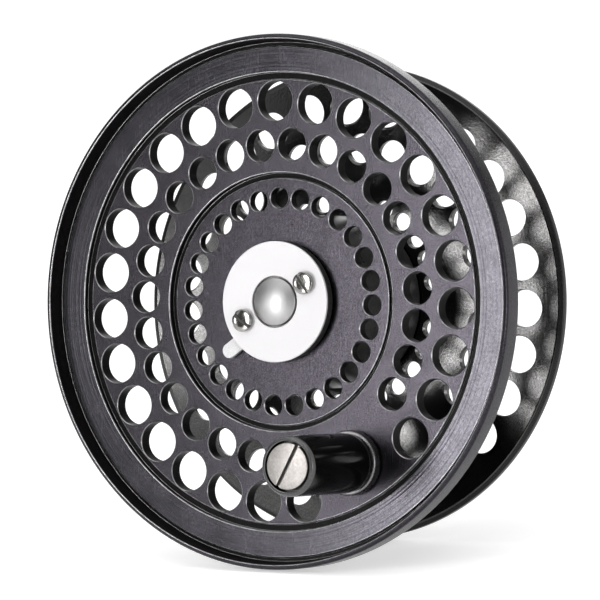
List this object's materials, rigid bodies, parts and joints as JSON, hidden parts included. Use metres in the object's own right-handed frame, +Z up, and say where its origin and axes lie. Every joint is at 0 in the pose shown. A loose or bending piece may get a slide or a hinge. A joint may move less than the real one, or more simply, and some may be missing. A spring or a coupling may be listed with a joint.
{
  "type": "fly reel spool",
  "caption": "Fly reel spool with perforated flanges, palming rim, sprung spindle latch, turning handle knob and ratchet wheel.",
  "frame": {"origin": "centre of the bounding box at its lowest level, which is the surface that the spool stands on", "axes": "+Z up, -Y to the front where the handle is, +X to the right seen from the front; the spool's axis leans back by 9.19 degrees because the rim is larger than the back flange"},
  "size_m": [0.076, 0.0496, 0.0753],
  "materials": {
    "face": "gunmetal anodised, fine blasted grain with turned bands",
    "barrel": "dark anodised, satin",
    "latch_plate": "bright satin nickel silver",
    "lever": "bead-blasted stainless steel",
    "screws": "polished steel",
    "knob": "polished black",
    "handle_metal": "faced stainless steel",
    "post": "dark anodised",
    "bush": "turned bronze",
    "ratchet": "machined steel"
  },
  "bodies": {
    "spool": {"front_flange": "face", "arbor": "barrel", "back_flange": "barrel", "spindle_bush": "bush", "ratchet_wheel": "ratchet", "ratchet_screw_1": "screws", "ratchet_screw_2": "screws", "ratchet_screw_3": "screws", "flange_screw_1": "screws", "flange_screw_2": "screws", "flange_screw_3": "screws", "latch_housing": "barrel", "latch_spring": "screws", "latch_spring_pin": "screws", "latch_cover": "latch_plate", "spindle_cap": "lever", "cover_screw_1": "screws", "cover_screw_2": "screws", "handle_post": "post", "handle_washer": "handle_metal", "handle_screw": "handle_metal"},
    "lever": {"latch_lever": "lever"},
    "knob": {"handle_knob": "knob"}
  },
  "joints": [
    {"name": "knob_spin", "type": "hinge", "parent": "spool", "child": "knob", "pos_m": [0.0123, -0.01605, 0.01687], "axis": [0, -0.9872, 0.1597], "continuous": true},
    {"name": "latch_release", "type": "hinge", "parent": "spool", "child": "lever", "pos_m": [0.00497, -0.00215, 0.0402], "axis": [0, -0.9872, 0.1597], "range_deg": [0, 8], "stiffness_Nm_per_rad": 0.02, "springref_deg": -5.73, "deforming": ["latch_spring"]}
  ]
}
